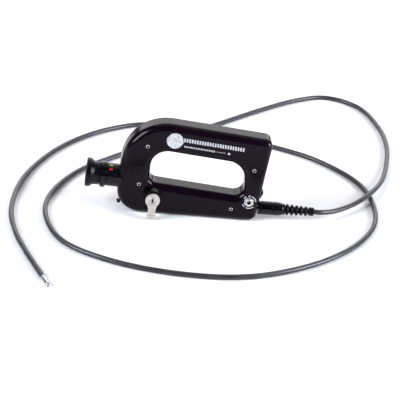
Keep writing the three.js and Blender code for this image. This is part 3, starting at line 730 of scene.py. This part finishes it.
prints = {
    "thickness": 0.05,
    "discCentre": (-20.8, 92.4),
    "discRadius": 9.1,
    "discRings": [1.0, 0.5, 1.1, 0.5, 1.4, 0.5, 1.3],
    "ringStep": 0.6,
    "fall": 4.9,
    "rows": {
        "printedBars": {"start": (-10.2, 94.2), "size": (1.75, 4.4), "pitch": 2.83, "count": 24},
        "printedDashes": {"start": (-9.6, 86.6), "size": (1.1, 1.8), "pitch": 1.83, "count": 19},
        "printedDots": {"start": (26.4, 83.6), "size": (0.9, 0.9), "pitch": 2.1, "count": 5},
        "printedSquare": {"start": (39.6, 82.4), "size": (2.4, 2.2), "pitch": 0, "count": 1},
    },
    "arcCentre": (69.1, 25.1),
    "arcRadii": (7.0, 8.1),
    "arcs": [(8, 62), (82, 20), (118, 28), (203, 32), (250, 68)],
}


def addDisc(values):
    x, z = values["discCentre"]
    deselectAll()
    bpy.ops.mesh.primitive_circle_add(
        vertices=96,
        radius=values["discRadius"] * mm,
        fill_type="NGON",
        location=faceSpot(x, z),
        rotation=(math.pi / 2, 0, 0),
    )
    piece = bpy.context.object
    bpy.ops.object.transform_apply(location=True, rotation=True, scale=True)
    edit(piece)
    bpy.ops.mesh.select_all(action="SELECT")
    bpy.ops.mesh.extrude_region_move(TRANSFORM_OT_translate={"value": (0, -values["thickness"] * mm, 0)})
    for i, width in enumerate(values["discRings"]):
        bpy.ops.mesh.inset(thickness=width * mm)
        step = values["ringStep"] * values["thickness"] * mm * (1 if i % 2 == 0 else -1)
        bpy.ops.transform.translate(value=(0, step, 0))
    bpy.ops.mesh.select_all(action="SELECT")
    bpy.ops.mesh.normals_make_consistent(inside=False)
    return settle(piece, "printedDisc")


# a first bar, then the rest duplicated along the falling line
def addBarRow(name, values, thickness, lean):
    width, height = values["size"][0] / 2, values["size"][1] / 2
    x, z = values["start"]
    pitch, drop = values["pitch"], 2 * width * lean
    outline = [(-width, -height), (width, -height - drop), (width, height - drop), (-width, height)]
    piece = drawLine([faceSpot(x + a, z + b) for a, b in outline])
    bpy.ops.mesh.select_all(action="SELECT")
    bpy.ops.mesh.edge_face_add()
    bpy.ops.mesh.select_all(action="SELECT")
    bpy.ops.mesh.extrude_region_move(TRANSFORM_OT_translate={"value": (0, -thickness * mm, 0)})
    bpy.ops.mesh.select_all(action="SELECT")
    for i in range(values["count"] - 1):
        bpy.ops.mesh.duplicate_move(TRANSFORM_OT_translate={"value": (pitch * mm, 0, -pitch * lean * mm)})
    bpy.ops.mesh.select_all(action="SELECT")
    bpy.ops.mesh.normals_make_consistent(inside=False)
    return settle(piece, name)


def addArcs(values):
    x, z = values["arcCentre"]
    near, far = values["arcRadii"]
    arcs = []
    for i, (start, sweep) in enumerate(values["arcs"]):
        end = math.radians(start + sweep)
        towards, steps = Vector((math.cos(end), 0, math.sin(end))), max(4, sweep // 5)
        line = [(0.01, near), (0.01, far)]
        arc = turnPiece(f"arc{i + 1}", line, faceSpot(x, z), (0, -1, 0), steps, towards, sweep)
        applyModifier(arc, "SOLIDIFY", thickness=values["thickness"] * mm, offset=1)
        arcs.append(arc)
    return settle(joinAll(arcs), "printedArcs")


printLean = math.tan(math.radians(prints["fall"]))
printed = [addDisc(prints)]
for name, row in prints["rows"].items():
    printed.append(addBarRow(name, row, prints["thickness"], printLean))
printed.append(addArcs(prints))
for mark in printed:
    dress(mark, "scope", discSilver if mark == printed[0] else printSilver, "satin_silver")
print("printed marks made")

# eyepiece: distances are along its own axis, out from the grip's end wall

eyepiece = {
    "centre": (-77.614, 0, 38),
    "axis": (-0.999236, 0, 0.039086),
    "barrel": [
        (-8.4, 7.5), (-8.4, 9), (-3.4, 9), (-3.4, 12.9), (0.3, 12.9), (0.5, 13), (1.6, 13), (1.75, 12.75),
        (2.1, 12.75), (2.25, 13), (6.4, 13), (6.5, 12.85), (6.8, 12.85), (6.9, 13), (12.9, 13), (13.4, 12.6),
        (13.6, 12.4), (13.6, 10), (26.4, 10), (26.4, 7.5), (-8.4, 7.5),
    ],
    "ring": [
        (13.9, 10.3), (13.9, 13.5), (14.3, 14), (15.2, 14), (15.3, 13.75), (15.6, 13.75), (15.7, 14),
        (18.8, 14), (18.9, 13.75), (19.2, 13.75), (19.3, 14), (20.2, 14), (20.6, 13.5), (20.6, 10.3), (13.9, 10.3),
    ],
    "cup": [
        (20.9, 10.3), (20.9, 12.2), (21.4, 12.75), (22.4, 12.85), (25.6, 12.85), (27.2, 13.1), (28.7, 13.7),
        (30, 14.7), (31, 15.6), (31.7, 15.95), (32.6, 16), (35.4, 16), (35.95, 15.85), (36.2, 15.4), (36.2, 14.6),
        (35.9, 14), (33.6, 11.6), (31.2, 9.2), (29.6, 7.9), (28.9, 7.5), (26.8, 7.5), (26.8, 10.3), (20.9, 10.3),
    ],
    "steps": 96,
    "pegs": 3,
    "pegAngle": 12,
    "pegAt": 17.25,
    "pegsFrom": 14.2,
    "peg": [
        (12.2, 0), (12.2, 2.65), (14.4, 2.65), (14.9, 2.55), (15.4, 2.2), (15.75, 1.6), (15.9, 0.8), (15.93, 0),
    ],
}
eyeCentre = Vector(eyepiece["centre"]) * mm
eyeAxis = Vector(eyepiece["axis"]).normalized()


# a direction square to the eyepiece's axis, turned from the top towards the front
def eyeOutward(degrees):
    top = Vector((0, 0, 1)) - eyeAxis * eyeAxis.z
    return (Matrix.Rotation(-math.radians(degrees), 3, eyeAxis) @ top).normalized()


def addEyepiece(values):
    made = {}
    for key in ("barrel", "ring", "cup"):
        made[key] = turnPiece("eyepiece" + key.capitalize(), values[key], eyeCentre, eyeAxis, values["steps"])
        smooth(made[key], 40)
    pegs = []
    for i in range(values["pegs"]):
        outward = eyeOutward(values["pegAngle"] + i * 360 / values["pegs"])
        foot = eyeCentre + eyeAxis * values["pegAt"] * mm
        pegs.append(turnPiece(f"peg{i + 1}", values["peg"], foot, outward, 32))
        smooth(pegs[-1], 40)
    made["ring"] = settle(joinAll([made["ring"], *pegs]), "eyepieceRing")
    dress(made["barrel"], "scope", satinBlack, "satin_black", "eyepiece_barrel")
    dress(made["ring"], "focus", satinBlack, "satin_black", "focus_ring")
    pegsFrom = values["pegsFrom"] * mm
    coverFaces(made["ring"], pegBlack, lambda face: (face.center - eyeCentre).cross(eyeAxis).length > pegsFrom)
    dress(made["cup"], "scope", softRubber, "black_rubber", "eyecup")


# painted patches on the barrel: each is a short line swept part of the way round it
marks = {
    "radius": 13.03,
    "thickness": 0.05,
    "green": {"along": 9.6, "length": 3.6, "angle": 14, "width": 2.4},
    "red": {"along": 9.7, "length": 4.1, "angle": 39, "width": 2.0},
}


def addPatch(name, finish, along, length, angle, width):
    radius = marks["radius"]
    sweep = math.degrees(width / radius)
    outward = eyeOutward(angle - sweep / 2)
    line = [(along - length / 2, radius), (along + length / 2, radius)]
    patch = turnPiece(name, line, eyeCentre, eyeAxis, 8, outward, sweep)
    applyModifier(patch, "SOLIDIFY", thickness=marks["thickness"] * mm, offset=1)
    smooth(patch, 40, weighted=False)
    dress(patch, "scope", finish, "satin_black")


addEyepiece(eyepiece)
addPatch("greenMark", markGreen, **marks["green"])
addPatch("redMark", markRed, **marks["red"])
print("eyepiece made")

# steering lever: a hub and a flat arm on the shaft, its places out from the back of the plate

lever = {
    "hub": (-38.8, -25, 23.8),
    "lean": 1,
    "thickness": 3,
    "disc": [
        (0, 0), (0, 7.5), (0.5, 8), (2.5, 8), (2.85, 7.8), (3, 7.5), (3, 6.9), (2.8, 6.5), (2.5, 6), (2.4, 5.2),
        (2.5, 4.3), (2.8, 3.8), (3, 3.5), (2.2, 3.3), (1.6, 3.3), (1.6, 0),
    ],
    "side": [(6.2, -4.9), (5.3, -6.5), (4.6, -8.2), (4.2, -10.2), (4.1, -13), (4.15, -16.4), (4.4, -18.4)],
    "foot": [(4.9, -18.2), (5.3, -19.6), (5.3, -21.3), (5, -22.1), (4.2, -22.4)],
    "armDrop": 0.15,
    "groove": [(1.3, -8.8), (1.9, -9.6), (1.9, -17.8), (1.3, -18.6)],
    "grooveDepth": 0.45,
    "screw": [(1.7, 0), (1.7, 3.15), (2.62, 3.15), (2.86, 2.9), (2.96, 2.2), (2.99, 1.1), (3, 0)],
    "slot": (1.2, 2.6, 1.0),  # half its width, half its length, its depth
    "slotShape": [(1, -0.55), (1, 0.55), (0, 1), (-1, 0.55), (-1, -0.55), (0, -1)],
    "slotLean": 13,
    "slotRim": 0.12,
    "slotReach": 2.3,
}
leverHub = Vector(lever["hub"]) * mm
leverDown = Vector((math.sin(math.radians(lever["lean"])), 0, -math.cos(math.radians(lever["lean"]))))
leverAcross = Vector((-leverDown.z, 0, leverDown.x))
towardsFront = Vector((0, -1, 0))


def onLever(across, up, out=0):
    return leverHub + (leverAcross * across - leverDown * up + towardsFront * out) * mm


def leverPlate(name, side, low, high):
    outline = side + [(-across, up) for across, up in reversed(side)]
    places = [onLever(across, up, low) for across, up in outline]
    return plateFrom(name, places, towardsFront * (high - low) * mm)


def addLever(values):
    thick = values["thickness"]
    disc = turnPiece("leverDisc", values["disc"], leverHub, towardsFront, 96)
    smooth(disc, 30)
    armTop = thick - values["armDrop"]
    arm = leverPlate("leverArm", values["side"], 0, armTop)
    roundEdges(arm, 0.4)
    cutWith(arm, [leverPlate("grooveRoom", values["groove"], armTop - values["grooveDepth"], thick + 1)])
    smooth(arm, 30)
    foot = leverPlate("leverFoot", values["foot"], 0, thick)
    roundEdges(foot, 0.85, 4)
    smooth(foot, 30)
    plate = settle(joinAll([disc, arm, foot]), "steeringLever")
    dress(plate, "lever", leverSilver, "satin_silver", "steering_lever")
    screw = turnPiece("leverScrewHead", values["screw"], leverHub, towardsFront, 64)
    halfWidth, halfLength, deep = values["slot"]
    lean = math.radians(values["slotLean"])
    along = Vector((math.sin(lean), 0, -math.cos(lean))) * halfLength * mm
    across = Vector((along.z, 0, -along.x)).normalized() * halfWidth * mm
    middle = onLever(0, 0, thick - deep)
    outline = [middle + along * a + across * b for a, b in values["slotShape"]]
    cutWith(screw, [plateFrom("slotRoom", outline, towardsFront * 2 * mm)])
    smooth(screw, 30)
    dress(screw, "lever", leverSilver, "bright_steel", "lever_screw")
    # the slot's walls and floor take the matte black finish: painted shade in the slot of the silver screw head
    rim = leverHub.y - (thick - values["slotRim"]) * mm
    floor = leverHub.y - (thick - deep - 0.01) * mm
    reach = values["slotReach"] * mm
    coverFaces(
        screw,
        deepBlack,
        lambda face: rim <= face.center.y <= floor
        and (face.center - leverHub).cross(towardsFront).length < reach,
    )


addLever(lever)
print("steering lever made")

# the boss that carries the lever's shaft, the jack, and the power button

fittings = {
    "bossPlace": (-38.8, 23.8),
    "boss": [
        (0.3, 4.5), (0.3, 9.7), (0.7, 10), (8.4, 10), (9.1, 9.7), (9.5, 9.1), (9.6, 8.2), (9.6, 4.5), (0.3, 4.5),
    ],
    "jackPlace": (68.7, 26.2),
    "nutAcross": 10.2,
    "nutGap": 0.3,
    "nutHeight": 2.6,
    "nutBore": 4.15,
    "nut": [(0.3, 0), (0.3, 7), (1.9, 7), (2.4, 5.35), (2.6, 5.0), (2.6, 0)],
    "jackBarrel": [
        (-10.3, 2.2), (-10.3, 4), (3.1, 4), (3.3, 3.85), (3.4, 3.6), (3.4, 2.5), (3.3, 2.3), (3.1, 2.2),
        (-10.3, 2.2),
    ],
    # a dark sleeve inside the barrel: painted shade in the jack's bore
    "jackBoreShade": [(-10, 1.6), (-10, 2.16), (2.9, 2.16), (2.9, 1.6), (-10, 1.6)],
    "buttonPlace": (81.834, 0, 31),
    "buttonAxis": (0.996134, 0, -0.087851),
    "bezel": [
        (-3.7, 3.6), (-3.7, 4.6), (0.3, 4.6), (0.3, 6.1), (0.5, 6.2), (1.2, 6.2), (1.65, 6.0), (1.88, 5.55),
        (1.9, 4.1), (1.7, 3.75), (1.3, 3.6), (-3.7, 3.6),
    ],
    "button": [
        (-5, 0), (-5, 4.3), (-4, 4.3), (-4, 3.3), (2.75, 3.3), (3.1, 3.18), (3.34, 2.85), (3.4, 2.4),
        (3.34, 1.9), (3.12, 1.2), (3.02, 0.6), (3, 0),
    ],
}


def addFittings(values):
    boss = turnPiece("leverBoss", values["boss"], faceSpot(*values["bossPlace"]), towardsFront, 96)
    dress(boss, "scope", deepBlack, "satin_black", "lever_boss")
    jack = faceSpot(*values["jackPlace"])
    corner = values["nutAcross"] / 2 / math.cos(math.pi / 6)
    nutFoot, nutTop = (jack + towardsFront * values[key] * mm for key in ("nutGap", "nutHeight"))
    nut = addRod(corner, nutFoot, nutTop, 6)
    shaper = turnPiece("nutShaper", values["nut"], jack, towardsFront, 96)
    applyModifier(nut, "BOOLEAN", operation="INTERSECT", object=shaper, solver="EXACT")
    take(shaper)
    bpy.ops.object.delete()
    cutWith(nut, [addRod(values["nutBore"], jack - towardsFront * mm, jack + towardsFront * 5 * mm, 64)])
    roundEdges(nut, 0.12, 2, 25)
    dress(settle(nut, "jackNut"), "scope", brightSteel, "bright_steel", "jack_nut")
    barrel = turnPiece("jackBarrel", values["jackBarrel"], jack, towardsFront, 64)
    dress(barrel, "scope", brightSteel, "bright_steel", "jack_barrel")
    # the dark sleeve inside the jack's barrel is painted shade, so the bore reads dark
    boreShade = turnPiece("jackBoreShade", values["jackBoreShade"], jack, towardsFront, 48)
    dress(boreShade, "scope", deepBlack, "satin_black")
    place, axis = Vector(values["buttonPlace"]) * mm, values["buttonAxis"]
    bezel = turnPiece("buttonBezel", values["bezel"], place, axis, 72)
    dress(bezel, "scope", satinBlack, "satin_black", "button_bezel")
    button = turnPiece("powerButton", values["button"], place, axis, 72)
    dress(button, "button", satinBlack, "satin_black", "power_button")
    for piece in (boss, nut, barrel, boreShade, bezel, button):
        smooth(piece, 30)


addFittings(fittings)
print("jack and button made")

# strap stud, on a line out of the heel's centre

stud = {
    "centre": (-52.06, 0, 26),
    "angle": 220,
    "profile": [
        (26.3, 0), (26.3, 2.3), (26.9, 2.1), (27.3, 1.6), (28.6, 1.5), (28.95, 1.9), (29.1, 2.4), (29.4, 2.6),
        (30.7, 2.6), (31.3, 2.3), (31.8, 1.5), (32, 0),
    ],
}
studTurn = math.radians(stud["angle"])
studPiece = turnPiece(
    "strapStud", stud["profile"], Vector(stud["centre"]) * mm, (math.cos(studTurn), 0, math.sin(studTurn)), 48
)
smooth(studPiece, 35)
dress(studPiece, "scope", blackSteel, "black_steel", "strap_stud")

# gland and strain relief, along the cord's axis from the toe wall

gland = {
    "start": (81.3, 0, 12.4),
    "body": [
        (0, 2.95), (0, 7.3), (0.4, 7.7), (3.5, 7.7), (3.75, 7.4), (4.5, 7.4), (4.75, 7.7), (17, 7.7),
        (17.25, 7.4), (18, 7.4), (18.25, 7.7), (22, 7.7), (24.2, 7.5), (26.6, 7.1), (28.4, 6.6), (29, 6.1),
        (29, 2.95), (0, 2.95),
    ],
    "reliefStart": 29.3,
    "flange": [(0, 0), (0, 5.8), (0.3, 6.1), (1.5, 6.1), (1.8, 5.5), (2, 3.6)],
    "ribs": 5,
    "firstRib": 2.4,
    "ribPitch": 5.3,
    "ribRadii": (6.5, 5.3),
    "core": (3.6, 3.0),
    "ribShape": [(0, 0), (0.12, 0.5), (0.24, 0.88), (0.36, 1), (0.52, 1), (0.64, 0.88), (0.76, 0.5), (0.88, 0)],
    "cuff": [
        (29, 3.0), (29.3, 4.4), (29.8, 4.8), (34.1, 4.8), (34.7, 4.5), (34.9, 4.0), (35.3, 3.5), (35.6, 3.0),
        (35.6, 2.7), (30, 2.7), (30, 0),
    ],
}


def addGland(values):
    start, axis = Vector(values["start"]) * mm, Vector((1, 0, 0))
    body = turnPiece("glandBody", values["body"], start, axis, 96)
    smooth(body, 30)
    dress(body, "scope", satinBlack, "satin_black", "gland_body")
    profile = list(values["flange"])
    for i in range(values["ribs"]):
        share = (i + 0.5) / values["ribs"]
        rib, core = (near + (far - near) * share for near, far in (values["ribRadii"], values["core"]))
        pitch = values["ribPitch"]
        place = values["firstRib"] + i * pitch
        profile += [(place + a * pitch, core + (rib - core) * rise) for a, rise in values["ribShape"]]
    profile += values["cuff"]
    relief = turnPiece("strainRelief", profile, start + axis * values["reliefStart"] * mm, axis, 72)
    smooth(relief, 60)
    dress(relief, "scope", softRubber, "black_rubber", "strain_relief")


addGland(gland)
print("stud, gland and strain relief made")

# the nodes that keep their own shape take the finish of their slot

slotFinishes = {
    "gloss_black": glossBlack,
    "satin_black": satinBlack,
    "black_rubber": softRubber,
    "satin_silver": leverSilver,
    "bright_steel": brightSteel,
    "black_steel": blackSteel,
    "bronze": bronzeFinish,
    "aluminium": aluminiumFinish,
    "lens_glass": glassFinish,
    "board_green": boardGreen,
    "cell_sleeve": cellBlue,
}
for part in frame["record"]["subparts"]:
    kept = frame["nodes"][part["node"]]
    kept.data.materials.clear()
    kept.data.materials.append(slotFinishes[part["material_slot"]])
print("inner parts finished")

# a plain pale floor, soft studio light

studio = {
    "floorSize": 14,
    "lamps": [
        # name, place, aim, size, power, colour
        ("backWall", (0.2, 3.4, 1.7), (0, 0, 0.1), (5.0, 2.4), 100, (1, 0.98, 1)),
        ("overhead", (0.2, 1.1, 3.0), (0, 0, 0), (3.2, 2.2), 20, (1, 1, 1)),
        ("leftBox", (-2.2, -1.1, 1.35), (0, 0, 0.05), (1.25, 1.5), 120, (0.88, 0.91, 1)),
        ("rightBox", (2.3, -0.6, 0.95), (0, 0, 0.05), (1.25, 1.45), 115, (0.88, 0.91, 1)),
    ],
    "worldShade": (0.9, 0.9, 0.92),
    "worldStrength": 0.12,
}


def addFloor(values):
    deselectAll()
    bpy.ops.mesh.primitive_grid_add(x_subdivisions=8, y_subdivisions=8, size=values["floorSize"])
    floor = bpy.context.object
    finish = Finish("floorPaper", specular=0.15)
    cloud = finish.noise(3, detail=3)
    finish.set("Base Color", finish.blend(cloud, (0.82, 0.82, 0.82), (0.85, 0.85, 0.85)))
    finish.set("Roughness", cloud * 0.1 + 0.7)
    floor.data.materials.append(finish.material)
    settle(floor, "floor")


def addLamp(name, place, aim, size, power, colour):
    deselectAll()
    turn = (Vector(place) - Vector(aim)).to_track_quat("Z", "Y").to_euler()
    bpy.ops.object.light_add(type="AREA", location=place, rotation=turn)
    lamp = bpy.context.object
    lamp.name = name
    lamp.data.shape = "RECTANGLE"
    lamp.data.size, lamp.data.size_y = size
    lamp.data.energy = power
    lamp.data.color = colour


addFloor(studio)
for lamp in studio["lamps"]:
    addLamp(*lamp)
world = bpy.data.worlds.new("studioWorld")
world.use_nodes = True
world.node_tree.nodes["Background"].inputs["Color"].default_value = (*studio["worldShade"], 1)
world.node_tree.nodes["Background"].inputs["Strength"].default_value = studio["worldStrength"]
bpy.context.scene.world = world
bpy.context.scene.view_settings.view_transform = "Standard"
print("floor and lights set")
